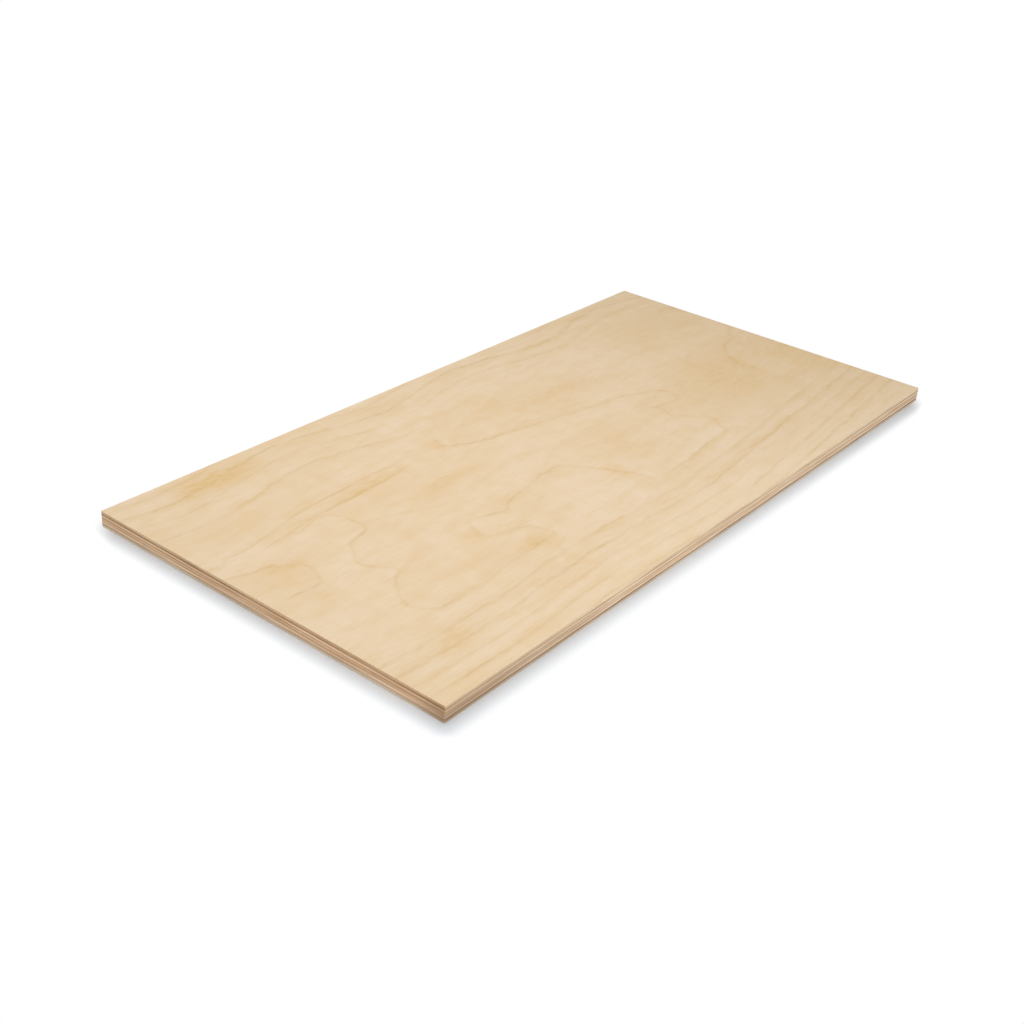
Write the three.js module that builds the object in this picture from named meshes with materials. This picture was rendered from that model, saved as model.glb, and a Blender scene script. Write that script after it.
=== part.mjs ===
// A sawn and sanded plywood panel: nine veneers glued face to face, each with its grain square to
// the one below it. Millimetres, +Z up. The origin is the centre of the underside, X runs along
// the grain of the face and Y across it.

import * as THREE from 'three';

// Driving dimensions of the panel.
const panelLength = 610;
const panelWidth = 305;

// Veneer thicknesses after pressing and sanding. The two outermost are the thickest, so that they
// can be sanded without wearing through, and the three in the middle are the thinnest.
const faceThickness = 1.7;
const backThickness = 1.7;
const outerCrossbandThickness = 1.4;
const longBandThickness = 1.4;
const innerCrossbandThickness = 1;
const coreThickness = 1;

// What sanding takes off the edges: the arrises around both faces, and the four upright corners.
const arrisRadius = 0.4;
const cornerRadius = 0.7;
const arrisSegments = 4;
const cornerSegments = 4;
// An arris never takes more than this share of the veneer it is on, or of the corner it runs round.
const arrisLimit = 0.9;

// Wood tones. Veneers that run with the face are pale, and the crossbands between them are darker.
const paleFaceTone = '#e8d0ae';
const backTone = '#d9c1a0';
const longBandTone = '#d3b18b';
const crossbandTone = '#a5835f';
const coreTone = '#bd9a74';
const sandedRoughness = 0.55;
const sawnRoughness = 0.8;

// The lay-up from the underside to the face. It is balanced: whatever lies below the core is
// matched above it, so the panel stays flat when it takes up moisture.
const layUp = [
  { name: 'ply_9_back', thickness: backThickness, tone: backTone, roughness: sandedRoughness },
  { name: 'ply_8_crossband', thickness: outerCrossbandThickness, tone: crossbandTone, roughness: sawnRoughness },
  { name: 'ply_7_long_band', thickness: longBandThickness, tone: longBandTone, roughness: sawnRoughness },
  { name: 'ply_6_crossband', thickness: innerCrossbandThickness, tone: crossbandTone, roughness: sawnRoughness },
  { name: 'ply_5_core', thickness: coreThickness, tone: coreTone, roughness: sawnRoughness },
  { name: 'ply_4_crossband', thickness: innerCrossbandThickness, tone: crossbandTone, roughness: sawnRoughness },
  { name: 'ply_3_long_band', thickness: longBandThickness, tone: longBandTone, roughness: sawnRoughness },
  { name: 'ply_2_crossband', thickness: outerCrossbandThickness, tone: crossbandTone, roughness: sawnRoughness },
  { name: 'ply_1_face', thickness: faceThickness, tone: paleFaceTone, roughness: sandedRoughness },
];

// The centre of each upright corner's round, measured from the middle of the panel.
const cornerCentreX = panelLength / 2 - cornerRadius;
const cornerCentreY = panelWidth / 2 - cornerRadius;

// The outline that the saw leaves, the same for every veneer.
function panelOutline() {
  const quarterTurn = Math.PI / 2;
  const outline = new THREE.Shape();
  outline.moveTo(cornerCentreX, -panelWidth / 2);
  outline.absarc(cornerCentreX, -cornerCentreY, cornerRadius, -quarterTurn, 0);
  outline.absarc(cornerCentreX, cornerCentreY, cornerRadius, 0, quarterTurn);
  outline.absarc(-cornerCentreX, cornerCentreY, cornerRadius, quarterTurn, 2 * quarterTurn);
  outline.absarc(-cornerCentreX, -cornerCentreY, cornerRadius, 2 * quarterTurn, 3 * quarterTurn);
  outline.closePath();
  return outline;
}

// The rings that a veneer is lofted through, from its lower face to its upper one. Each has a
// height, and an inset from the outline where the arris is rounded over.
function veneerRings(lower, upper, roundsBelow, roundsAbove) {
  const round = Math.min(arrisRadius, arrisLimit * cornerRadius, arrisLimit * (upper - lower));
  const arris = [];
  for (let step = 1; step <= arrisSegments; step += 1) {
    const turn = (step / arrisSegments) * (Math.PI / 2);
    arris.push({ rise: round * Math.sin(turn), inset: round * (1 - Math.cos(turn)) });
  }
  const rings = [];
  if (roundsBelow) {
    arris.toReversed().forEach(({ rise, inset }) => rings.push({ height: lower + round - rise, inset }));
    rings.push({ height: lower + round, inset: 0 });
  } else {
    rings.push({ height: lower, inset: 0 });
  }
  if (roundsAbove) {
    rings.push({ height: upper - round, inset: 0 });
    arris.forEach(({ rise, inset }) => rings.push({ height: upper - round + rise, inset }));
  } else {
    rings.push({ height: upper, inset: 0 });
  }
  return rings;
}

// A veneer as a closed solid. Its neighbours are given the very same height where they meet, so
// the glued faces coincide.
function veneerGeometry(rings) {
  const intervals = rings.length - 1;
  const geometry = new THREE.ExtrudeGeometry(panelOutline(), {
    depth: intervals,
    steps: intervals,
    curveSegments: cornerSegments,
    bevelEnabled: false,
  });
  const position = geometry.attributes.position;
  for (let index = 0; index < position.count; index += 1) {
    const { height, inset } = rings[Math.round(position.getZ(index))];
    const shrink = 1 - inset / cornerRadius;
    const centreX = Math.sign(position.getX(index)) * cornerCentreX;
    const centreY = Math.sign(position.getY(index)) * cornerCentreY;
    const x = centreX + (position.getX(index) - centreX) * shrink;
    const y = centreY + (position.getY(index) - centreY) * shrink;
    position.setXYZ(index, x, y, height);
  }
  geometry.computeVertexNormals();
  return geometry;
}

const panel = new THREE.Group();
let height = 0;

layUp.forEach(({ name, thickness, tone, roughness }, place) => {
  const lower = height;
  const upper = lower + thickness;
  const isBack = place === 0;
  const isFace = place === layUp.length - 1;
  const material = new THREE.MeshStandardMaterial({ color: tone, roughness, metalness: 0 });
  const veneer = new THREE.Mesh(veneerGeometry(veneerRings(lower, upper, isBack, isFace)), material);
  veneer.name = name;
  panel.add(veneer);
  height = upper;
});

export default panel;
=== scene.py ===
# %% [markdown]
# # A plywood panel
# Plywood is a stack of thin veneers glued face to face, each with its grain square to the one
# below. This lesson dresses such a panel of nine veneers, or plies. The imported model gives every
# ply its place and size. What it leaves out is what the eye goes to: the figure of the peeled face,
# and the narrow light and dark bands of the sawn edges.
#
# # Load the frame
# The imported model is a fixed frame. The size of the panel and the height of every ply are read from
# it, so the looks follow the construction. Its box is kept here, to compare with the finished
# model's box at the end.

# %% Load the frame
import math

import bmesh
import bpy
from mathutils import Matrix, Vector, noise


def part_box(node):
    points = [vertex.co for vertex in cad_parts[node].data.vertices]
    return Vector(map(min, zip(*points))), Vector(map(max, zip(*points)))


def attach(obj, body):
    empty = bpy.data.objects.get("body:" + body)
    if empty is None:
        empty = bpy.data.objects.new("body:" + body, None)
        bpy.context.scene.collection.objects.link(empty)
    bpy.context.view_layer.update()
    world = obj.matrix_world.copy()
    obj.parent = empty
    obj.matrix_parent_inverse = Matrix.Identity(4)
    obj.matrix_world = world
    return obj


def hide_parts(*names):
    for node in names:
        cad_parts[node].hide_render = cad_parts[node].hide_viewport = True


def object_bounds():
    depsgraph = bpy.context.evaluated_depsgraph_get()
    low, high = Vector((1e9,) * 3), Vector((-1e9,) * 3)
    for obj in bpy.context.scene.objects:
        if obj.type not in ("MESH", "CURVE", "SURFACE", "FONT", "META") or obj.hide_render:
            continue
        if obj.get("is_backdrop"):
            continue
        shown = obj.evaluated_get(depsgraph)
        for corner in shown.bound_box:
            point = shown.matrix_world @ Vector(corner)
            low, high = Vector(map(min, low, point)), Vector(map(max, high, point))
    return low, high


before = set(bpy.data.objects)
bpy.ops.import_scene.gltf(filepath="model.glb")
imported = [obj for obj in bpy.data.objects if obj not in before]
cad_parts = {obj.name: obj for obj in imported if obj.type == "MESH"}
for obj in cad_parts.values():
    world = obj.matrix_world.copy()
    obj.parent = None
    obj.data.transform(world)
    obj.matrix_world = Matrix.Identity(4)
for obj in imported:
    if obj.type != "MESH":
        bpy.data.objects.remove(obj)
cad_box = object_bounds()
# One millimetre in Blender's metres. Measures are in millimetres where nothing else is said.
MM = 0.001
PLIES = sorted(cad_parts)
LOW, HIGH = [Vector(corner) / MM for corner in cad_box]
LENGTH, WIDTH, THICKNESS = HIGH - LOW
print("plies:", PLIES)
print(f"panel: {LENGTH:.1f} x {WIDTH:.1f} x {THICKNESS:.1f} mm")

# %% [markdown]
# # The camera
# A panel is best seen from above one corner, so that the face and two edges show. A camera could be
# placed by its coordinates. Here it is given the way one would say it aloud: the point it looks at,
# how far round and how high it stands, how far off it is, and how much it leans to one side. The
# shift slides the view a little to one side without turning the camera.

# %% The camera
AIM = Vector((-102.8, -19.3, 0.0)) * MM
ROUND_FROM_X = math.radians(217.66)
CLIMB = math.radians(29.56)
DISTANCE = 992.8 * MM
LEAN = math.radians(3.875)
FOCAL_LENGTH = 49.61
SIDE_SHIFT = 0.02

outwards = Vector(
    (
        math.cos(CLIMB) * math.cos(ROUND_FROM_X),
        math.cos(CLIMB) * math.sin(ROUND_FROM_X),
        math.sin(CLIMB),
    )
)
lens = bpy.data.cameras.new("camera")
lens.lens = FOCAL_LENGTH
lens.shift_x = SIDE_SHIFT
camera = bpy.data.objects.new("camera", lens)
turned = outwards.to_track_quat("Z", "Y").to_matrix() @ Matrix.Rotation(LEAN, 3, "Z")
camera.matrix_world = Matrix.Translation(AIM + outwards * DISTANCE) @ turned.to_4x4()
bpy.context.scene.collection.objects.link(camera)
bpy.context.scene.camera = camera
print("camera at", [round(value, 3) for value in camera.matrix_world.translation])

# %% [markdown]
# # The tools for a material
# Every finish is a small tree of nodes. One function adds a node with its settings by name and its
# inputs by name or number, where an input may be a value or another node's output, and hands back
# the output to go on from. A second turns the sRGB colours that a colour picker shows into the
# linear values that Blender works in.

# %% The tools for a material
# A Mix node's colour sockets go by number, because it has several sockets of one name.
MIX_FACTOR, MIX_FIRST, MIX_SECOND, MIX_RESULT = 0, 6, 7, 2
# The value that a noise texture swings about.
NOISE_MIDDLE = 0.5


def linear(hex_colour):
    """The linear colour of an sRGB hex value such as "e8d0ae"."""
    channels = [int(hex_colour[at : at + 2], 16) / 255 for at in (0, 2, 4)]
    bent = [c / 12.92 if c <= 0.04045 else ((c + 0.055) / 1.055) ** 2.4 for c in channels]
    return (*bent, 1.0)


def add(tree, kind, inputs=(), output=0, **settings):
    """Adds a node of a kind, with its inputs and settings, and returns one of its outputs."""
    made = tree.nodes.new("ShaderNode" + kind)
    for name, value in settings.items():
        setattr(made, name, value)
    for key, value in dict(inputs).items():
        if isinstance(value, bpy.types.NodeSocket):
            tree.links.new(value, made.inputs[key])
        else:
            made.inputs[key].default_value = value
    return made.outputs[output] if made.outputs else None


print("white is", linear("ffffff"))

# %% [markdown]
# # What every finish of wood needs
# Wood is never one flat colour, so a finish starts from the place of each point in millimetres, and
# lays soft patches of a deeper colour over a pale one. Bare wood scatters most of the light between
# its fibres, which leaves it half the sheen of a smooth plastic.

# %% What every finish of wood needs
WOOD_IOR = 1.5
WOOD_SHEEN = 0.25


def start_finish(name):
    """A new material, with its tree, its shader and the place of each point in millimetres."""
    material = bpy.data.materials.new(name)
    material.use_nodes = True
    tree = material.node_tree
    coordinates = add(tree, "TexCoord", output="Object")
    place = add(tree, "VectorMath", {0: coordinates, "Scale": 1 / MM}, operation="SCALE")
    return material, tree, tree.nodes["Principled BSDF"], place


def patches(tree, place, size, low=0.35, high=0.65, detail=2.0, least=0.0, most=1.0):
    """Soft patches between two values, of a size in millimetres along X, Y and Z."""
    scale = [1 / side for side in size]
    sized = add(tree, "Mapping", {"Vector": place, "Scale": scale})
    cloud = add(tree, "TexNoise", {"Vector": sized, "Scale": 1.0, "Detail": detail})
    inputs = {"Value": cloud, "From Min": low, "From Max": high, "To Min": least, "To Max": most}
    return add(tree, "MapRange", inputs, interpolation_type="SMOOTHSTEP")


def layered(tree, colour, deep, layers):
    """A colour that each layer, a value with its strength, draws towards a deeper colour."""
    if isinstance(colour, str):
        colour = linear(colour)
    for layer, strength in layers:
        weight = add(tree, "Math", {0: layer, 1: strength}, operation="MULTIPLY")
        inputs = {MIX_FACTOR: weight, MIX_FIRST: colour, MIX_SECOND: linear(deep)}
        colour = add(tree, "Mix", inputs, MIX_RESULT, data_type="RGBA")
    return colour


def dress_wood(tree, shader, colour, roughness):
    """Gives a shader the colour of bare wood and its dull sheen."""
    tree.links.new(colour, shader.inputs["Base Color"])
    shader.inputs["Roughness"].default_value = roughness
    shader.inputs["Specular IOR Level"].default_value = WOOD_SHEEN
    shader.inputs["IOR"].default_value = WOOD_IOR


print(f"bare wood: IOR {WOOD_IOR}, sheen {WOOD_SHEEN}")

# %% [markdown]
# # Sawn wood
# Along the edges the saw cuts straight through the stack. A veneer is cut along its fibres on two
# sides, which leaves a pale, finely streaked strip. On the other two it shows the ends of its fibres,
# which drink in the light, look browner and speckle the strip. So a sawn strip takes one pair of
# colours for the long sides and one for the short ones. Part of that difference is painted light: for
# most plies the long sides, which catch more of the light, are painted paler. Here the crossbands are
# of a darker wood as well, which keeps them the darker bands all round. Slow patches along the strip
# stand for the different wood that the knife met as the log went round, and a painted shade darkens
# the lower front edge next to the left corner.

# %% Sawn wood
GRAIN_ALONG = 30.0
# Vessels are a tenth of a millimetre across, and so are the layers of growth in a veneer. Both are
# drawn this coarse, in clusters, to show.
VESSEL = 1.2
THROUGH = 0.6
STREAK_STRENGTH = 0.40
# The size of the slow patches along the strip and up through it.
DRIFT, DRIFT_THROUGH = 42.0, 1.3
DRIFT_STRENGTH = 0.60
# Painted shade, low on the front edge next to the left corner: its middle, its reach and its
# strength.
FRONT_CORNER_SHADE = ((-LENGTH / 2, -WIDTH / 2, THICKNESS / 3), (190.0, 24.0, 11.0), 0.63)
FRONT_CORNER_SHADE_TONE = "7d5f42"


def sawn_colour(tree, place, grain, long_side, short_side):
    """The colour of a sawn strip, from a pale and a deep colour for each pair of sides."""
    size = (GRAIN_ALONG, VESSEL, THROUGH) if grain == "X" else (VESSEL, GRAIN_ALONG, THROUGH)
    streaks = patches(tree, place, size, low=0.3, high=0.7, detail=3.0)
    drift = patches(tree, place, (DRIFT, DRIFT, DRIFT_THROUGH), detail=3.0)
    layers = ((streaks, STREAK_STRENGTH), (drift, DRIFT_STRENGTH))
    sides = [layered(tree, pale, deep, layers) for pale, deep in (long_side, short_side)]
    normal = add(tree, "TexCoord", output="Normal")
    short = add(tree, "VectorMath", {0: normal, 1: (1, 0, 0)}, "Value", operation="DOT_PRODUCT")
    short = add(tree, "Math", {0: short}, operation="ABSOLUTE")
    inputs = {MIX_FACTOR: short, MIX_FIRST: sides[0], MIX_SECOND: sides[1]}
    colour = add(tree, "Mix", inputs, MIX_RESULT, data_type="RGBA")
    # The painted shade low on the front edge next to the left corner.
    middle, reach, strength = FRONT_CORNER_SHADE
    inputs = {"Vector": place, "Location": middle, "Scale": reach}
    at = add(tree, "Mapping", inputs, vector_type="TEXTURE")
    near = add(tree, "TexGradient", {0: at}, "Fac", gradient_type="SPHERICAL")
    return layered(tree, colour, FRONT_CORNER_SHADE_TONE, [(near, strength)])


print("sawn wood:", GRAIN_ALONG, "mm streaks")

# %% [markdown]
# # The figure of a peeled face
# Face veneer is peeled from a turning log like paper from a roll. The knife follows the growth
# rings almost exactly, so it crosses each of them at a very small angle, and a ring shows as a
# contour line. The pattern could be drawn line by line, but it is easier to build the thing that
# causes it: how many rings lie between each point of the face and the bark. The whole numbers of
# that field are then the ring lines.
#
# In the middle of this panel the knife ran inside one ring, which makes a plateau. Where the log
# had a hollow the knife ran out into the next ring, where it had a knoll it stayed in, and the line
# between the two rings winds about them. Towards the two long sides the rings rise steeply, and
# their lines run straight and crowd together.

# %% The forms of the log
# The plateau's height, the depth of a hollow and the height of a knoll, all in rings. The blends
# say over how many rings two forms run into one another.
PLATEAU = 0.5
DEPTH = 1.3
BLEND, SIDE_BLEND = 0.35, 0.3
# Each hollow and knoll has its middle and its reach along and across the grain in millimetres, and
# its turn in degrees.
FACE_LOG = {
    "hollows": (
        ((-57.0, -70.0), (66.0, 50.0), 8.0),
        ((-126.0, -46.0), (24.0, 14.0), -20.0),
        ((-284.0, -30.0), (76.0, 87.0), 0.0),
        ((-213.0, 26.0), (19.0, 20.0), 10.0),
        ((-172.0, 55.0), (60.0, 7.0), 2.0),
        ((-236.0, 49.0), (44.0, 6.0), 10.0),
        ((42.0, 47.0), (122.0, 24.0), -11.0),
        ((100.0, 90.0), (160.0, 50.0), 0.0),
        ((212.0, 5.0), (122.0, 125.0), 0.0),
    ),
    "knolls": (
        ((-132.0, -79.0), (19.0, 15.0), 35.0),
        ((-212.0, -16.0), (17.0, 17.0), 45.0),
        ((-222.0, -68.0), (22.0, 22.0), 45.0),
        ((-305.0, 10.0), (56.0, 20.0), -17.0),
        ((-312.0, -3.0), (52.0, 20.0), 17.0),
        ((6.9, -40.7), (20.0, 38.0), 33.0),
        ((115.0, -5.0), (26.0, 12.0), -20.0),
        ((103.0, -60.0), (15.0, 15.0), 45.0),
        ((312.0, -34.0), (86.0, 66.0), 12.0),
    ),
}
BACK_LOG = {
    "hollows": (
        ((150.0, -20.0), (130.0, 52.0), -8.0),
        ((-70.0, 45.0), (90.0, 20.0), 6.0),
        ((-260.0, -40.0), (75.0, 50.0), 0.0),
    ),
    "knolls": (
        ((195.0, -12.0), (42.0, 20.0), 10.0),
        ((-275.0, -35.0), (30.0, 20.0), 0.0),
    ),
}
# Each steep side: which way it faces, where it begins as a distance from the middle, how far that
# line swings to and fro, how long one swing is and where it swings out most, how many rings the
# side falls in a millimetre, and from which X on it draws in, by how much a millimetre.
STEEP_SIDES = (
    {
        "way": 1.0, "begins": 93.0, "swing": 7.5, "length": 203.0, "crest": 40.0, "fall": 0.060,
        "draws_in_from": 305.0, "draws_in": 0.0,
    },
    {
        "way": -1.0, "begins": 84.0, "swing": 2.5, "length": 272.0, "crest": -240.0, "fall": 0.080,
        "draws_in_from": 28.0, "draws_in": 0.10,
    },
)
# Over how many millimetres a steep side bends down from the plateau.
SIDE_ROUND = 37.0
# The small waves of the rings: the size along and across the grain, and the height in rings.
RIPPLES = (((36.0, 27.0), 0.45), ((11.0, 8.0), 0.13))
print("face:", len(FACE_LOG["hollows"]), "hollows and", len(FACE_LOG["knolls"]), "knolls")

# %% [markdown]
# # One form of the log
# A hollow or a knoll is a squarish mound, because a round one makes the line about it too even. A
# steep side is a slope that begins along a waving line.

# %% One form of the log


def mound(group, place, middle, reach, turn):
    """A squarish mound, 1 at its middle and 0 outside its reach."""
    inputs = {
        "Vector": place,
        "Location": (*middle, 0.0),
        "Rotation": (0.0, 0.0, math.radians(turn)),
        "Scale": (*reach, 1.0),
    }
    at = add(group, "Mapping", inputs, vector_type="TEXTURE")
    square = add(group, "VectorMath", {0: at, 1: at}, operation="MULTIPLY")
    away = add(group, "VectorMath", {0: square, 1: square}, "Value", operation="DOT_PRODUCT")
    away = add(group, "Math", {0: away, 1: -1.0}, operation="MULTIPLY")
    return add(group, "Math", {0: away}, operation="EXPONENT")


def steep_side(group, x, y, side):
    """How many rings the wood has fallen beyond the line where a steep side begins."""
    held = add(group, "Math", {0: x, 1: side["draws_in_from"]}, operation="MINIMUM")
    turn = math.tau / side["length"]
    inputs = {0: held, 1: turn, 2: -turn * side["crest"]}
    wave = add(group, "Math", inputs, operation="MULTIPLY_ADD")
    wave = add(group, "Math", {0: wave}, operation="COSINE")
    inputs = {0: wave, 1: side["swing"], 2: side["begins"]}
    edge = add(group, "Math", inputs, operation="MULTIPLY_ADD")
    beyond = add(group, "Math", {0: x, 1: held}, operation="SUBTRACT")
    inputs = {0: beyond, 1: -side["draws_in"], 2: edge}
    edge = add(group, "Math", inputs, operation="MULTIPLY_ADD")
    outward = add(group, "Math", {0: y, 1: side["way"]}, operation="MULTIPLY")
    past = add(group, "Math", {0: outward, 1: edge}, operation="SUBTRACT")
    past = add(group, "Math", {0: past, 1: 0.0, 2: SIDE_ROUND}, operation="SMOOTH_MAX")
    return add(group, "Math", {0: past, 1: side["fall"]}, operation="MULTIPLY")


print("steep sides:", len(STEEP_SIDES))

# %% [markdown]
# # The ring field
# Hollows that touch join into one instead of adding up, and so do knolls. The smooth minimum and
# maximum do that. The field is a node group, because the lines need its value at three places.

# %% The ring field


def ring_field(name, log):
    """A node group that gives the ring number at a place in millimetres."""
    group = bpy.data.node_groups.new(name, "ShaderNodeTree")
    group.interface.new_socket("Place", in_out="INPUT", socket_type="NodeSocketVector")
    group.interface.new_socket("Rings", in_out="OUTPUT", socket_type="NodeSocketFloat")
    place = group.nodes.new("NodeGroupInput").outputs["Place"]
    place = add(group, "VectorMath", {0: place, 1: (1.0, 1.0, 0.0)}, operation="MULTIPLY")
    x = add(group, "VectorMath", {0: place, 1: (1, 0, 0)}, "Value", operation="DOT_PRODUCT")
    y = add(group, "VectorMath", {0: place, 1: (0, 1, 0)}, "Value", operation="DOT_PRODUCT")

    low, high = 0.0, 0.0
    for form in log["hollows"]:
        form = add(group, "Math", {0: mound(group, place, *form), 1: -DEPTH}, operation="MULTIPLY")
        low = add(group, "Math", {0: low, 1: form, 2: BLEND}, operation="SMOOTH_MIN")
    for form in log["knolls"]:
        form = add(group, "Math", {0: mound(group, place, *form), 1: DEPTH}, operation="MULTIPLY")
        high = add(group, "Math", {0: high, 1: form, 2: BLEND}, operation="SMOOTH_MAX")
    level = add(group, "Math", {0: low, 1: high}, operation="ADD")
    level = add(group, "Math", {0: level, 1: 0.0, 2: BLEND}, operation="SMOOTH_MIN")
    fallen = 0.0
    for side in STEEP_SIDES:
        fall = steep_side(group, x, y, side)
        fallen = add(group, "Math", {0: fallen, 1: fall}, operation="ADD")
    fallen = add(group, "Math", {0: fallen, 1: -1.0}, operation="MULTIPLY")
    rings = add(group, "Math", {0: level, 1: fallen, 2: SIDE_BLEND}, operation="SMOOTH_MIN")
    rings = add(group, "Math", {0: rings, 1: PLATEAU}, operation="ADD")

    for (along, across), height in RIPPLES:
        inputs = {"Vector": place, "Scale": (1 / along, 1 / across, 1.0)}
        sized = add(group, "Mapping", inputs)
        wave = add(group, "TexNoise", {"Vector": sized, "Scale": 1.0, "Detail": 2.0})
        wave = add(group, "Math", {0: wave, 1: NOISE_MIDDLE}, operation="SUBTRACT")
        inputs = {0: wave, 1: height, 2: rings}
        rings = add(group, "Math", inputs, operation="MULTIPLY_ADD")
    group.links.new(rings, group.nodes.new("NodeGroupOutput").inputs["Rings"])
    return group


FACE_RINGS = ring_field("face_rings", FACE_LOG)
BACK_RINGS = ring_field("back_rings", BACK_LOG)
print("ring fields:", len(FACE_RINGS.nodes), "and", len(BACK_RINGS.nodes), "nodes")

# %% [markdown]
# # The ring lines
# On sanded birch the ring lines are soft and brown, two or three millimetres wide, a little sharper
# on one side than on the other, with a faint stain beside them. To keep that width in millimetres,
# the distance to the next line is worked out as the rings that are left, divided by how fast the
# field changes. A line is stronger in some years than in others, and where it crosses the grain it
# is honey rather than brown.

# %% The ring lines
FIELD_STEP = 0.5
# Where the field hardly changes, a line would grow endlessly wide, so its rate is held above this.
LEAST_RATE = 0.004
# How far a ring line fades on its old side and on its new side, and how far and how strongly the
# faint stain beside it reaches.
LINE_FADES, LINE_STARTS = 3.0, 2.2
LINE_STAIN, STAIN_SHARE = 9.0, 0.25
# Good and poor years: a line's strength swings to and fro by this share from ring to ring, in steps
# of this many radians.
YEAR_SWING, YEAR_STEP = 0.4, 2.4
# How squarely a line crosses the grain is the part of the field's climb that runs along the grain.
# It begins to count at the first of these and is full at the second.
CROSSING_FROM, CROSSING_TO = 0.35, 0.85


def ring_lines(tree, place, field):
    """The ring lines of a field, the ring number, and how squarely a line crosses the grain."""
    # The field here and a short step along X and Y, which gives how fast it changes.
    rings = []
    for shift in ((0.0, 0.0, 0.0), (FIELD_STEP, 0.0, 0.0), (0.0, FIELD_STEP, 0.0)):
        moved = add(tree, "VectorMath", {0: place, 1: shift}, operation="ADD")
        group = tree.nodes.new("ShaderNodeGroup")
        group.node_tree = field
        tree.links.new(moved, group.inputs["Place"])
        rings.append(group.outputs["Rings"])
    here, ahead, beside = rings
    start = add(tree, "CombineXYZ", {0: here, 1: here})
    end = add(tree, "CombineXYZ", {0: ahead, 1: beside})
    climb = add(tree, "VectorMath", {0: start, 1: end}, "Value", operation="DISTANCE")
    rate = add(tree, "Math", {0: climb, 1: FIELD_STEP}, operation="DIVIDE")
    rate = add(tree, "Math", {0: rate, 1: LEAST_RATE}, operation="MAXIMUM")
    lengthways = add(tree, "Math", {0: ahead, 1: here}, operation="SUBTRACT")
    lengthways = add(tree, "Math", {0: lengthways, 1: climb}, operation="DIVIDE")
    lengthways = add(tree, "Math", {0: lengthways}, operation="ABSOLUTE")
    inputs = {"Value": lengthways, "From Min": CROSSING_FROM, "From Max": CROSSING_TO}
    crossing = add(tree, "MapRange", inputs, interpolation_type="SMOOTHSTEP")

    # The distance in millimetres to the next ring line and from the last one.
    part = add(tree, "Math", {0: here}, operation="FRACT")
    left = add(tree, "Math", {0: 1.0, 1: part}, operation="SUBTRACT")
    before = add(tree, "Math", {0: left, 1: rate}, operation="DIVIDE")
    after = add(tree, "Math", {0: part, 1: rate}, operation="DIVIDE")
    line = 0.0
    for distance, reach, share in (
        (before, LINE_FADES, 1.0),
        (after, LINE_STARTS, 1.0),
        (before, LINE_STAIN, STAIN_SHARE),
        (after, LINE_STAIN, STAIN_SHARE),
    ):
        inputs = {"Value": distance, "From Max": reach, "To Min": share, "To Max": 0.0}
        faded = add(tree, "MapRange", inputs, interpolation_type="SMOOTHSTEP")
        line = add(tree, "Math", {0: line, 1: faded}, operation="ADD")
    inputs = {0: line, 1: 1 + STAIN_SHARE}
    line = add(tree, "Math", inputs, operation="DIVIDE", use_clamp=True)

    # The nearest whole number is the line's year.
    year = add(tree, "Math", {0: here}, operation="ROUND")
    year = add(tree, "Math", {0: year, 1: YEAR_STEP}, operation="MULTIPLY")
    year = add(tree, "Math", {0: year}, operation="SINE")
    year = add(tree, "Math", {0: year, 1: YEAR_SWING, 2: 1.0}, operation="MULTIPLY_ADD")
    line = add(tree, "Math", {0: line, 1: year}, operation="MULTIPLY")
    return line, here, crossing


# A fade is at half its strength half way along.
print(f"ring lines: {(LINE_FADES + LINE_STARTS) / 2:.1f} mm wide at half their strength")

# %% [markdown]
# # The marks on the face
# Between the ring lines lie faint fibres along the grain, soft cloudy patches and a few honey
# smears, and here and there the sanding has thinned a line or taken it away. The patches may fall
# anywhere, so noise makes them. The smears and gaps are what one panel is known by from the next,
# so each has a place of its own.

# %% The marks on the face
# The unevenness of the wood: the size along and across the grain, the noise values where a patch
# begins and is full, its detail and its strength. These are the broad zones, the clouds, the fibres
# and a faint flame across the grain. Fibres are a few hundredths of a millimetre wide and are drawn
# this coarse, in bundles, to show.
WOOD_PATCHES = (
    ((120.0, 50.0), 0.35, 0.65, 2.0, 0.12),
    ((38.0, 10.0), 0.40, 0.70, 3.0, 0.20),
    ((14.0, 0.9), 0.30, 0.70, 2.0, 0.24),
    ((9.0, 70.0), 0.30, 0.70, 2.0, 0.08),
)
# Early and late wood are bands that keep to the rings, broad where the rings lie flat: their length
# along the grain, their width in rings and their strength.
BAND_LENGTH, BAND_RINGS, BAND_STRENGTH = 170.0, 0.45, 0.20
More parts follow.
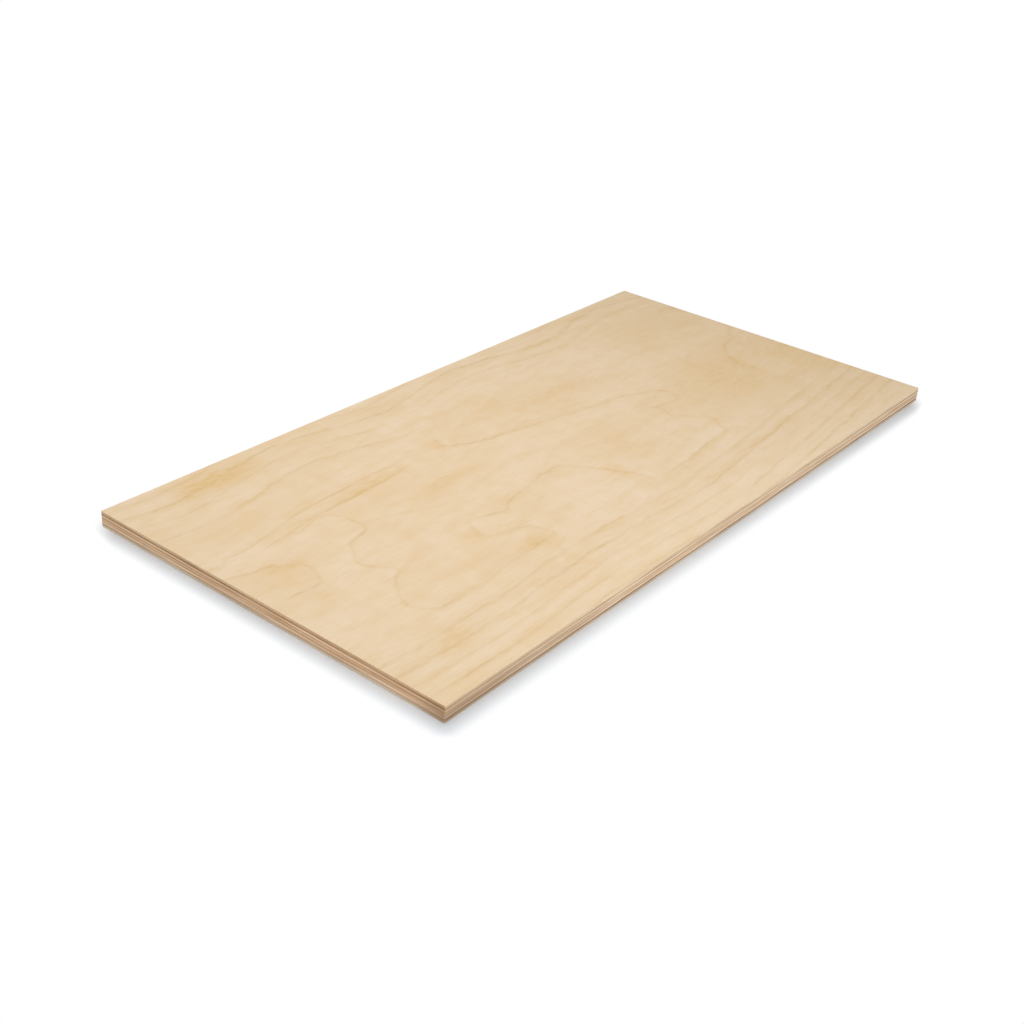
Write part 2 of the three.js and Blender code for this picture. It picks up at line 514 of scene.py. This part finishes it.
# The honey smears of the face, small and sharp ones before the broad ones: the middle, the reach
# and the strength of each.
FACE_SMEARS = (
    ((-224.0, 134.0), (54.0, 24.0), 0.60),
    ((-152.0, 55.0), (58.0, 10.0), 0.42),
    ((-225.0, 51.0), (50.0, 7.0), 0.20),
    ((-112.0, 19.5), (66.0, 10.0), 0.26),
    ((77.0, 58.7), (58.0, 9.0), 0.22),
    ((-71.0, 60.0), (9.0, 14.0), 0.25),
    ((-124.0, -80.0), (16.0, 18.0), 0.30),
    ((-127.0, -108.0), (7.0, 28.0), 0.16),
    ((-81.0, -101.6), (32.0, 5.0), 0.26),
    ((-157.0, -45.0), (20.0, 20.0), 0.18),
    ((-5.0, -58.0), (12.0, 18.0), 0.22),
    ((-272.0, -25.0), (18.0, 18.0), 0.14),
    ((-268.0, 10.0), (40.0, 18.0), 0.20),
    ((-252.0, -117.0), (28.0, 20.0), 0.28),
    ((236.0, -15.6), (12.0, 24.0), 0.22),
    ((35.0, -30.0), (22.0, 62.0), 0.16),
    ((30.0, 62.0), (140.0, 56.0), 0.14),
    ((185.0, -25.0), (96.0, 60.0), 0.22),
    ((290.0, -25.0), (56.0, 70.0), 0.27),
    ((330.0, 0.0), (230.0, 360.0), 0.15),
)
BACK_SMEARS = (((90.0, 70.0), (60.0, 9.0), 0.4), ((-150.0, -95.0), (35.0, 7.0), 0.4))
# How far the edge of a smear wanders, and over what length along and across the grain.
SMEAR_WANDER, WANDER_SIZE = 16.0, (40.0, 14.0)
# The wood is palest along the near side, which came from nearest the bark: the middle, the reach
# and the strength of this sapwood.
SAPWOOD = ((110.0, -152.0), (600.0, 52.0), 0.24)
SAPWOOD_TONE = "fbe8ca"
# Where a ring line is thinner than elsewhere or gone, as on the steep sides, where many share the
# same late wood: the middle, the reach and the share that is lost.
FACE_GAPS = (
    ((-62.0, 91.0), (42.0, 36.0), 1.0),
    ((8.0, -88.0), (18.0, 20.0), 1.0),
    ((258.0, -62.0), (60.0, 42.0), 1.0),
    ((30.0, -135.0), (420.0, 66.0), 0.36),
    ((0.0, 130.0), (700.0, 66.0), 0.22),
)
BACK_GAPS = (((60.0, 40.0), (30.0, 30.0), 1.0),)
# Smears and lines are mottled by patches of this size, between these strengths. The lines also come
# and go along their way, in longer patches.
MOTTLE_SIZE, MOTTLE_LEAST, MOTTLE_MOST = (9.0, 3.5), 0.65, 1.35
FADED_SIZE, FADED_LEAST = (40.0, 16.0), 0.4
# The share of the way in from its rim at which a spot is full.
SPOT_FULL = 0.9


def spot(tree, place, middle, reach):
    """A soft-edged spot, 1 over its middle and 0 beyond its reach."""
    inputs = {"Vector": place, "Location": (*middle, 0.0), "Scale": (*reach, 1.0)}
    at = add(tree, "Mapping", inputs, vector_type="TEXTURE")
    inside = add(tree, "TexGradient", {0: at}, "Fac", gradient_type="SPHERICAL")
    inputs = {"Value": inside, "From Max": SPOT_FULL}
    return add(tree, "MapRange", inputs, interpolation_type="SMOOTHSTEP")


def wood_layers(tree, flat, here):
    """The early and late wood, and the unevenness of the wood itself, with their strengths."""
    inputs = {0: flat, 1: (1 / BAND_LENGTH, 0, 0)}
    lengthways = add(tree, "VectorMath", inputs, "Value", operation="DOT_PRODUCT")
    year = add(tree, "CombineXYZ", {0: lengthways, 1: here})
    bands = patches(tree, year, (1.0, BAND_RINGS, 1.0), low=0.35, high=0.75, detail=3.0)
    layers = [(bands, BAND_STRENGTH)]
    for (along, across), low, high, detail, strength in WOOD_PATCHES:
        patch = patches(tree, flat, (along, across, across), low, high, detail)
        layers.append((patch, strength))
    return layers


def smear_layers(tree, flat, smears, mottle):
    """The smears with their strengths, at places moved about to make their edges wander."""
    along, across = WANDER_SIZE
    inputs = {"Vector": flat, "Scale": (1 / along, 1 / across, 1.0)}
    sized = add(tree, "Mapping", inputs)
    moved = add(tree, "TexNoise", {"Vector": sized, "Scale": 1.0, "Detail": 3.0}, "Color")
    inputs = {0: moved, 1: [NOISE_MIDDLE] * 3}
    moved = add(tree, "VectorMath", inputs, operation="SUBTRACT")
    wander = (2 * SMEAR_WANDER, SMEAR_WANDER, 0.0)
    moved = add(tree, "VectorMath", {0: moved, 1: wander, 2: flat}, operation="MULTIPLY_ADD")
    layers = []
    for *where, strength in smears:
        smear = add(tree, "Math", {0: spot(tree, moved, *where), 1: mottle}, operation="MULTIPLY")
        layers.append((smear, strength))
    return layers


def drawn_lines(tree, flat, line, gaps, mottle):
    """The ring lines, stronger and weaker along their way, and thinned in the gaps."""
    along, across = FADED_SIZE
    kept = patches(tree, flat, (along, across, across), least=FADED_LEAST)
    drawn = add(tree, "Math", {0: line, 1: kept}, operation="MULTIPLY")
    drawn = add(tree, "Math", {0: drawn, 1: mottle}, operation="MULTIPLY")
    for *where, lost in gaps:
        inputs = {0: spot(tree, flat, *where), 1: -lost, 2: 1.0}
        kept = add(tree, "Math", inputs, operation="MULTIPLY_ADD")
        drawn = add(tree, "Math", {0: drawn, 1: kept}, operation="MULTIPLY")
    return drawn


print("marks:", len(FACE_SMEARS), "smears and", len(FACE_GAPS), "gaps on the face")

# %% [markdown]
# # The face and the back
# Sanded birch is a close, pale cream wood with almost no pores to see. At its rim the saw has opened
# the fibres, which makes the same wood tan and matt. All of it could come from an image, but nodes
# stay sharp at any distance and need no file. The back is the same veneer of a darker grade.

# %% The face and the back
SANDED_ROUGHNESS = 0.62
LINE_STRENGTH = 0.29
# Where a line crosses the grain it loses this share of its brown and takes on this much honey.
CROSSING_LOSS, CROSSING_HONEY = 0.65, 0.27
# How steep a surface is, as the upward part of its normal, where it counts as sawn and as sanded.
SAWN_BELOW, SANDED_ABOVE = 0.45, 0.90
# The pale wood, its honey and the brown of its lines. Then the rim's pale and deep colours on the
# long sides and on the short ones; on the face the long sides are also painted paler, as painted
# light for the stronger light on them. The back's rim is painted grey and pale: the grey is a painted
# contact shadow from the floor beside it, and the paleness offsets the real shade there.
FACE_COLOURS = ("f1dcc1", "dfb873", "cba24d")
BACK_COLOURS = ("e6cfab", "cfa772", "b08a5a")
FACE_RIM = (("f4dfbf", "cca983"), ("e6c59d", "b48b5e"))
BACK_RIM = (("e1d0b8", "bba489"), ("e7d5be", "c0ab90"))


def peeled_birch(name, field, smears, gaps, colours, rim_colours):
    """Sanded rotary-cut birch veneer: cream, with brown ring lines, and tan where it is sawn."""
    material, tree, shader, place = start_finish(name)
    pale, honey, brown = colours
    flat = add(tree, "VectorMath", {0: place, 1: (1.0, 1.0, 0.0)}, operation="MULTIPLY")
    line, here, crossing = ring_lines(tree, flat, field)
    along, across = MOTTLE_SIZE
    size = (along, across, across)
    mottle = patches(tree, flat, size, 0.25, 0.75, least=MOTTLE_LEAST, most=MOTTLE_MOST)

    layers = wood_layers(tree, flat, here) + smear_layers(tree, flat, smears, mottle)
    colour = layered(tree, pale, honey, layers)
    *where, strength = SAPWOOD
    colour = layered(tree, colour, SAPWOOD_TONE, [(spot(tree, flat, *where), strength)])

    drawn = drawn_lines(tree, flat, line, gaps, mottle)
    warm = add(tree, "Math", {0: drawn, 1: crossing}, operation="MULTIPLY")
    cool = add(tree, "Math", {0: warm, 1: -CROSSING_LOSS, 2: drawn}, operation="MULTIPLY_ADD")
    colour = layered(tree, colour, brown, [(cool, LINE_STRENGTH)])
    colour = layered(tree, colour, honey, [(warm, CROSSING_HONEY)])

    # The rim: sawn wood in place of sanded, streaked along its length.
    normal = add(tree, "TexCoord", output="Normal")
    upward = add(tree, "VectorMath", {0: normal, 1: (0, 0, 1)}, "Value", operation="DOT_PRODUCT")
    upward = add(tree, "Math", {0: upward}, operation="ABSOLUTE")
    inputs = {"Value": upward, "From Min": SAWN_BELOW, "From Max": SANDED_ABOVE}
    inputs |= {"To Min": 1.0, "To Max": 0.0}
    sawn = add(tree, "MapRange", inputs, interpolation_type="SMOOTHSTEP")
    rim = sawn_colour(tree, place, "X", *rim_colours)
    inputs = {MIX_FACTOR: sawn, MIX_FIRST: colour, MIX_SECOND: rim}
    colour = add(tree, "Mix", inputs, MIX_RESULT, data_type="RGBA")
    dress_wood(tree, shader, colour, SANDED_ROUGHNESS)
    return material


BIRCH_FACE = peeled_birch(
    "peeled_birch_face", FACE_RINGS, FACE_SMEARS, FACE_GAPS, FACE_COLOURS, FACE_RIM
)
BIRCH_BACK = peeled_birch(
    "peeled_birch_back", BACK_RINGS, BACK_SMEARS, BACK_GAPS, BACK_COLOURS, BACK_RIM
)
print("materials:", BIRCH_FACE.name, BIRCH_BACK.name)

# %% [markdown]
# # The inner plies
# The inner plies show only as their sawn edges, so one finish serves them all. It is told which
# way the ply's grain runs and its colours, and it takes the glue line from a value that each ply's
# mesh carries at its edge.

# %% The inner plies
GLUE = "8f6743"
GLUE_STRENGTH = 0.5
SAWN_ROUGHNESS = 0.75
# The torn fibres that stand up from a sawn edge: how strongly and how high they show.
FUZZ_STRENGTH, FUZZ_HEIGHT = 0.35, 0.08
# Each inner ply's grain, and its pale and deep colours on the long sides and on the short ones. Most
# long-side pairs are also painted paler, as painted light for the stronger light on those sides.
INNER_PLIES = {
    "ply_2_crossband": ("Y", ("e7caa7", "b6916c"), ("c8a079", "825a37")),
    "ply_3_long_band": ("X", ("fee8cb", "debc97"), ("f8d7b2", "cba276")),
    "ply_4_crossband": ("Y", ("eacba9", "b58c65"), ("dfb993", "a3754c")),
    "ply_5_core": ("X", ("f9debe", "d0aa85"), ("f4d1ac", "c6986f")),
    "ply_6_crossband": ("Y", ("eacba9", "b58c65"), ("e3c19c", "aa7e56")),
    "ply_7_long_band": ("X", ("feeacf", "dfbe9b"), ("fcdcba", "d2ab81")),
    "ply_8_crossband": ("Y", ("c6a281", "805e40"), ("e2c4a7", "ab8b6b")),
}


def sawn_veneer(name, grain, long_side, short_side):
    """Sawn edge of a rotary-cut veneer: streaked along its grain, speckled across it, matt."""
    material, tree, shader, place = start_finish(name)
    colour = sawn_colour(tree, place, grain, long_side, short_side)
    glue = add(tree, "Attribute", output="Fac", attribute_name="glue_line")
    colour = layered(tree, colour, GLUE, [(glue, GLUE_STRENGTH)])
    dress_wood(tree, shader, colour, SAWN_ROUGHNESS)
    fuzz = patches(tree, place, (VESSEL, VESSEL, VESSEL), low=0.3, high=0.7, detail=3.0)
    inputs = {"Height": fuzz, "Strength": FUZZ_STRENGTH, "Distance": FUZZ_HEIGHT * MM}
    tree.links.new(add(tree, "Bump", inputs), shader.inputs["Normal"])
    return material


FINISHES = {name: sawn_veneer(name + "_edge", *look) for name, look in INNER_PLIES.items()}
FINISHES["ply_1_face"] = BIRCH_FACE
FINISHES["ply_9_back"] = BIRCH_BACK
print("finishes:", len(FINISHES))

# %% [markdown]
# # The sawn outline
# Every ply of a sawn panel has the same outline, because the saw cuts them all at once: four
# straight sides, with corners that handling has worn a little. The outline starts as a plane, gets
# its worn corners from a vertex bevel, and is then cut into short steps, so that the edges can
# carry the small unevenness of real wood.

# %% The sawn outline
CORNER_WEAR, CORNER_SEGMENTS = 0.7, 3
STEP = 0.8


def sawn_outline(shape):
    """Starts a shape as the outline of the panel, and returns its edges."""
    bmesh.ops.create_grid(shape, x_segments=1, y_segments=1, size=0.5)
    bmesh.ops.scale(shape, vec=(LENGTH, WIDTH, 1.0), verts=shape.verts)
    bmesh.ops.bevel(
        shape,
        geom=shape.verts[:],
        affect="VERTICES",
        offset=CORNER_WEAR,
        offset_type="OFFSET",
        segments=CORNER_SEGMENTS,
        profile=0.5,
        material=-1,
    )
    bmesh.ops.delete(shape, geom=shape.faces[:], context="FACES_ONLY")
    for side in [edge for edge in shape.edges if edge.calc_length() > CORNER_WEAR]:
        cuts = round(side.calc_length() / STEP) - 1
        bmesh.ops.subdivide_edges(shape, edges=[side], cuts=cuts)
    return shape.edges[:]


trial = bmesh.new()
print("outline:", len(sawn_outline(trial)), "steps")
trial.free()

# %% [markdown]
# # What the saw leaves
# Up close the edge isn't a clean plane. The soft middle of each ply gives way a little more than
# the hard glue lines, the blade leaves a slow ripple, and the glue lines themselves wander by a
# tenth of a millimetre or two, because veneers aren't equally thick. Each of these is a function of
# the place on the outline, so that the two plies that share a glue line get the same line. All of
# them only take wood away, which keeps the panel inside its true size.

# %% What the saw leaves
# Each form has how far it goes and over what length along the edge.
GLUE_LINE_WANDER, WANDER_LENGTH = 0.16, 38.0
SOFTENING, FIBRE_LENGTH = 0.10, 1.3
BLADE_RIPPLE, BLADE_LENGTH = 0.05, 7.0
FACE_ARRIS, BACK_ARRIS = 0.4, 0.25
ARRIS_WANDER, ARRIS_LENGTH = 0.3, 11.0
CHIP, CHIP_LENGTH = 0.5, 3.5
# A chip starts where its chance value is above this, which leaves one about every ten centimetres.
CHIP_FROM = 0.62
# How far apart the chance values of two levels and of chips and arrises lie.
LEVEL_SPREAD, CHIP_SPREAD = 3.0, 7.0


def outward(point):
    """The direction that faces out of the panel at a point of its outline."""
    inner = (LENGTH / 2 - CORNER_WEAR, WIDTH / 2 - CORNER_WEAR)
    held = [max(-limit, min(limit, side)) for side, limit in zip(point, inner)]
    return (point.xy - Vector(held)).normalized()


def ripple(point, length, layer):
    """A smooth chance value from -1 to 1 at a point, with waves of about a given length."""
    return noise.noise(Vector((point.x / length, point.y / length, layer)))


def glue_height(point, level):
    """The height of the glue line at a level, which wanders unless it is a face of the panel."""
    if min(level - LOW.z, HIGH.z - level) < SOFTENING:
        return level
    return level + GLUE_LINE_WANDER * ripple(point, WANDER_LENGTH, level)


def saw_depth(point, softness, level):
    """How far the sawn surface lies inside the outline."""
    blade = BLADE_RIPPLE * (0.5 + 0.5 * ripple(point, BLADE_LENGTH, 0.0))
    fibres = 0.5 + 0.5 * ripple(point, FIBRE_LENGTH, LEVEL_SPREAD * level)
    return blade + softness * SOFTENING * fibres


def arris_size(point, level):
    """The size of the eased edge of a face, with the odd small chip in it."""
    size = FACE_ARRIS if level > THICKNESS / 2 else BACK_ARRIS
    chip = max(0.0, ripple(point, CHIP_LENGTH, level + CHIP_SPREAD) - CHIP_FROM)
    size *= 1 + ARRIS_WANDER * ripple(point, ARRIS_LENGTH, level)
    return size + chip * CHIP / (1 - CHIP_FROM)


sample = Vector((0.0, -WIDTH / 2, 0.0))
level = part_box("ply_5_core")[0][2] / MM
print(f"glue line below the core, mid-front: {glue_height(sample, level):.3f} mm, not {level:.1f}")

# %% [markdown]
# # The rows of a ply
# A ply is built like a stack of rings: the outline is repeated row by row up its edge. Each row is
# a function that tells, for a point of the outline, how far inside it the row lies, how high, and
# how much glue is there. Close rows beside a glue line keep the glue thin. The two face plies end
# in an arris, a quarter round that sanding leaves.

# %% The rows of a ply
# How far up and down the stain of a glue line reaches, and how far in a ply's flat seat begins.
GLUE_HALF = 0.13
SEAT = 2.0
ARRIS_STEPS = 4
# How much the saw softens the wood beside a glue line and beside a face, against the middle's 1.
GLUE_SOFTNESS, FACE_SOFTNESS = 0.4, 0.5


def seat_row(level):
    """A row inside the stack, flat on the neighbour."""
    return lambda point: (SEAT, level, 1.0)


def glue_row(level, lift):
    """A row at a glue line, or just above or below it."""
    softness = abs(lift) / GLUE_HALF * GLUE_SOFTNESS
    glue = 0.0 if lift else 1.0
    return lambda point: (
        saw_depth(point, softness, level),
        glue_height(point, level) + lift,
        glue,
    )


def middle_row(low, high):
    """The row round the middle of a ply, where the wood is softest."""
    middle = (low + high) / 2
    return lambda point: (
        saw_depth(point, 1.0, middle),
        (glue_height(point, low) + glue_height(point, high)) / 2,
        0.0,
    )


def arris_row(level, way, part):
    """A row of the eased edge of a face, from the face at part 0 to the sawn side at part 1."""
    turn = part * math.pi / 2
    return lambda point: (
        saw_depth(point, FACE_SOFTNESS, level) * part
        + arris_size(point, level) * (1 - math.sin(turn)),
        level + way * arris_size(point, level) * (1 - math.cos(turn)),
        0.0,
    )


def ply_rows(low, high):
    """The rows of a ply from bottom to top."""
    turns = [turn / ARRIS_STEPS for turn in range(ARRIS_STEPS + 1)]
    if low - LOW.z < SOFTENING:
        rows = [arris_row(low, 1.0, part) for part in turns]
    else:
        rows = [seat_row(low), glue_row(low, 0.0), glue_row(low, GLUE_HALF)]
    rows.append(middle_row(low, high))
    if HIGH.z - high < SOFTENING:
        rows += [arris_row(high, -1.0, part) for part in reversed(turns)]
    else:
        rows += [glue_row(high, -GLUE_HALF), glue_row(high, 0.0), seat_row(high)]
    return rows


low, high = [corner.z / MM for corner in map(Vector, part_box("ply_1_face"))]
print("rows of the face veneer:", len(ply_rows(low, high)))

# %% [markdown]
# # The plies
# The outline is extruded upwards row by row along its edges, each row is set to its height and
# depth by its function, and the last loop at each end is filled. Extruding keeps the outline's own
# point with every copy of it, as a value of the mesh, so each row can ask where on the outline it
# belongs.

# %% The plies


def ply_piece(name):
    """Builds one ply with its sawn edge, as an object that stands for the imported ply."""
    low, high = [corner.z / MM for corner in map(Vector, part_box(name))]
    shape = bmesh.new()
    rim = sawn_outline(shape)
    outline = shape.verts.layers.float_vector.new("outline")
    glue_line = shape.verts.layers.float.new("glue_line")
    for corner in shape.verts:
        corner[outline] = corner.co
    verts, first_rim = shape.verts[:], rim
    for number, row in enumerate(ply_rows(low, high)):
        if number:
            made = bmesh.ops.extrude_edge_only(shape, edges=rim)["geom"]
            verts = [part for part in made if isinstance(part, bmesh.types.BMVert)]
            rim = [part for part in made if isinstance(part, bmesh.types.BMEdge)]
        for corner in verts:
            point = corner[outline]
            depth, height, glue = row(point)
            side = point.xy - outward(point) * depth
            corner.co = (*side, height)
            corner[glue_line] = glue
    for face in shape.faces:
        face.smooth = True
    for loop in (first_rim, rim):
        bmesh.ops.edgeloop_fill(shape, edges=loop)
    bmesh.ops.recalc_face_normals(shape, faces=shape.faces)
    bmesh.ops.scale(shape, vec=(MM, MM, MM), verts=shape.verts)
    mesh = bpy.data.meshes.new(name + "_veneer")
    shape.to_mesh(mesh)
    shape.free()
    piece = bpy.data.objects.new(name + "_veneer", mesh)
    bpy.context.scene.collection.objects.link(piece)
    mesh.materials.append(FINISHES[name])
    return piece


for name in PLIES:
    piece = ply_piece(name)
    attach(piece, "root")
    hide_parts(name)
    print(piece.name, len(piece.data.vertices), "vertices")

# %% [markdown]
# # The floor
# The panel lies on a white sweep of paper. A plain white floor would need very strong light to come
# out white, and the light would wash out the wood. So to the camera the floor turns to plain white
# a short way from the panel, and close by it keeps the panel's own soft shadow.

# %% The floor
FLOOR_HALF = 4000.0 * MM

mesh = bpy.data.meshes.new("floor")
sweep = bmesh.new()
bmesh.ops.create_grid(sweep, x_segments=1, y_segments=1, size=FLOOR_HALF)
sweep.to_mesh(mesh)
sweep.free()
floor = bpy.data.objects.new("floor", mesh)
bpy.context.scene.collection.objects.link(floor)
floor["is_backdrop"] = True
print("floor:", round(2 * FLOOR_HALF), "m square")

# %% [markdown]
# # The paper
# The white is mixed in by the distance from the panel's outline. It is seen only by the rays that
# should see a backdrop, so the light that the floor gives back to the panel is that of real paper,
# which is a little cool.

# %% The paper
PAPER = "e7ecf1"
# How far from the panel the shadow begins to fade and is gone.
SHADOW_REACH = (5.0, 13.8)
# The shadow also runs out towards the two corners where |x - y| is largest, which are the left and
# the right one to the camera: how far past the corners' own value this fade begins and ends.
CORNER_REACH = (-15.0, 10.5)


def seen_rays(tree):
    """1 for the rays that should see the white backdrop: camera, mirror and glass rays."""
    camera_ray = add(tree, "LightPath", output="Is Camera Ray")
    glossy_ray = add(tree, "LightPath", output="Is Glossy Ray")
    glass_ray = add(tree, "LightPath", output="Is Transmission Ray")
    either = add(tree, "Math", {0: camera_ray, 1: glossy_ray}, operation="MAXIMUM")
    return add(tree, "Math", {0: either, 1: glass_ray}, operation="MAXIMUM")


paper = bpy.data.materials.new("white_paper_sweep")
paper.use_nodes = True
tree = paper.node_tree
tree.nodes.clear()
coordinates = add(tree, "TexCoord", output="Object")
place = add(tree, "VectorMath", {0: coordinates}, operation="ABSOLUTE")
half = (LENGTH * MM / 2, WIDTH * MM / 2, 0.0)
past = add(tree, "VectorMath", {0: place, 1: half}, operation="SUBTRACT")
past = add(tree, "VectorMath", {0: past, 1: (0.0, 0.0, 0.0)}, operation="MAXIMUM")
away = add(tree, "VectorMath", {0: past}, "Value", operation="LENGTH")
near, far = [reach * MM for reach in SHADOW_REACH]
inputs = {"Value": away, "From Min": near, "From Max": far}
fade = add(tree, "MapRange", inputs, interpolation_type="SMOOTHSTEP")
inputs = {0: coordinates, 1: (1.0, -1.0, 0.0)}
aside = add(tree, "VectorMath", inputs, "Value", operation="DOT_PRODUCT")
aside = add(tree, "Math", {0: aside}, operation="ABSOLUTE")
near, far = [((LENGTH + WIDTH) / 2 + reach) * MM for reach in CORNER_REACH]
inputs = {"Value": aside, "From Min": near, "From Max": far}
corners = add(tree, "MapRange", inputs, interpolation_type="SMOOTHSTEP")
fade = add(tree, "Math", {0: fade, 1: corners}, operation="ADD", use_clamp=True)
factor = add(tree, "Math", {0: fade, 1: seen_rays(tree)}, operation="MULTIPLY")
sheet = add(tree, "BsdfDiffuse", {"Color": linear(PAPER)})
white = add(tree, "Emission", {"Color": linear("ffffff"), "Strength": 1.0})
mixed = add(tree, "MixShader", {0: factor, 1: sheet, 2: white})
add(tree, "OutputMaterial", {"Surface": mixed})
mesh.materials.append(paper)
print("paper:", len(tree.nodes), "nodes")

# %% [markdown]
# # The light
# A dome of even light stands for the white walls of the studio. A large softbox over the left half
# of the panel and a wide fill far in front of it give the soft fall of light across the face and
# keep the two near edges bright. To the rays that should see the backdrop the world is plain white.

# %% The light
DOME_STRENGTH = 0.41
LIGHTS = {
    "softbox": {
        "place": (-100.0, 60.0, 760.0), "aim": (-100.0, 60.0, 0.0), "size": 500.0, "watts": 2.3,
    },
    "fill": {
        "place": (-1240.0, -1800.0, 1100.0), "aim": (0.0, 0.0, 0.0), "size": 1200.0, "watts": 26.5,
    },
}

world = bpy.data.worlds.new("studio")
bpy.context.scene.world = world
world.use_nodes = True
tree = world.node_tree
tree.nodes.clear()
dome = add(tree, "Background", {"Color": linear("ffffff"), "Strength": DOME_STRENGTH})
backdrop = add(tree, "Background", {"Color": linear("ffffff"), "Strength": 1.0})
mixed = add(tree, "MixShader", {0: seen_rays(tree), 1: dome, 2: backdrop})
add(tree, "OutputWorld", {"Surface": mixed})

for name, light in LIGHTS.items():
    panel = bpy.data.lights.new(name, "AREA")
    panel.shape = "SQUARE"
    panel.size = light["size"] * MM
    panel.energy = light["watts"]
    lamp = bpy.data.objects.new(name, panel)
    place = Vector(light["place"]) * MM
    back = place - Vector(light["aim"]) * MM
    lamp.matrix_world = Matrix.Translation(place) @ back.to_track_quat("Z", "Y").to_matrix().to_4x4()
    bpy.context.scene.collection.objects.link(lamp)
    print(name, panel.energy, "W")

bpy.context.scene.view_settings.view_transform = "Standard"

# %% [markdown]
# # Finish
# The dressed panel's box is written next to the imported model's. The two agree to a hundredth of a
# millimetre, and the dressed one is the smaller, because the saw and the sanding only take away.

# %% Finish
boxes = {"cad": cad_box, "visual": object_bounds()}
for name, box in boxes.items():
    print(name, "box in mm:", [[round(side / MM, 3) for side in corner] for corner in box])
